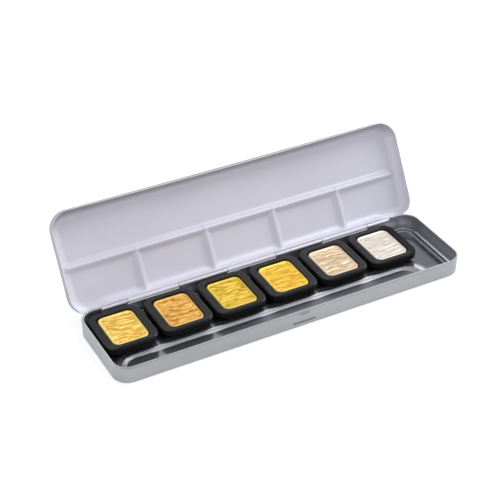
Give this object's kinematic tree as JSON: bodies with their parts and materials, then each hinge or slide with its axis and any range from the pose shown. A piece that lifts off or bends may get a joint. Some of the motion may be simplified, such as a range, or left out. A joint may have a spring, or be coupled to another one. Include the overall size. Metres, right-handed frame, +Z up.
{
  "type": "paint box",
  "caption": "Slim hinged metal paint box, open, with a row of black pans of pearl watercolour on a pressed floor, a brush bay, and a white lid pressed into mixing wells.",
  "frame": {"origin": "middle of the base's outline, in the plane of its underside", "axes": "+X along the box to its right end, +Y from the front to the hinge, +Z up"},
  "size_m": [0.2208, 0.0895, 0.0604],
  "materials": {
    "tinplate": "satin",
    "hinge_wire": "satin",
    "lid_enamel": "gloss",
    "pan_plastic": "satin",
    "pad_foam": "matt",
    "paint_warm_gold": "pearl",
    "paint_orange_gold": "pearl",
    "paint_lemon_gold": "pearl",
    "paint_golden_yellow": "pearl",
    "paint_champagne": "pearl",
    "paint_silver_pearl": "pearl"
  },
  "bodies": {
    "base": {"base_tray": "tinplate", "hinge_pin": "hinge_wire", "pad_1": "pad_foam", "pad_2": "pad_foam", "pad_3": "pad_foam", "pad_4": "pad_foam", "pad_5": "pad_foam", "pad_6": "pad_foam"},
    "lid": {"lid_shell": "lid_enamel"},
    "pan_body_1": {"pan_1": "pan_plastic", "paint_1": "paint_warm_gold"},
    "pan_body_2": {"pan_2": "pan_plastic", "paint_2": "paint_orange_gold"},
    "pan_body_3": {"pan_3": "pan_plastic", "paint_3": "paint_lemon_gold"},
    "pan_body_4": {"pan_4": "pan_plastic", "paint_4": "paint_golden_yellow"},
    "pan_body_5": {"pan_5": "pan_plastic", "paint_5": "paint_champagne"},
    "pan_body_6": {"pan_6": "pan_plastic", "paint_6": "paint_silver_pearl"}
  },
  "joints": [
    {"name": "lid_hinge", "type": "hinge", "parent": "base", "child": "lid", "pos_m": [0, 0.02833, 0.0087], "axis": [-1, 0, 0], "range_deg": [-119.3, 0]},
    {"name": "pan_1_lift", "type": "slide", "parent": "base", "child": "pan_body_1", "axis": [0, 0, 1], "range_m": [0, 0.025]},
    {"name": "pan_2_lift", "type": "slide", "parent": "base", "child": "pan_body_2", "axis": [0, 0, 1], "range_m": [0, 0.025]},
    {"name": "pan_3_lift", "type": "slide", "parent": "base", "child": "pan_body_3", "axis": [0, 0, 1], "range_m": [0, 0.025]},
    {"name": "pan_4_lift", "type": "slide", "parent": "base", "child": "pan_body_4", "axis": [0, 0, 1], "range_m": [0, 0.025]},
    {"name": "pan_5_lift", "type": "slide", "parent": "base", "child": "pan_body_5", "axis": [0, 0, 1], "range_m": [0, 0.025]},
    {"name": "pan_6_lift", "type": "slide", "parent": "base", "child": "pan_body_6", "axis": [0, 0, 1], "range_m": [0, 0.025]}
  ]
}
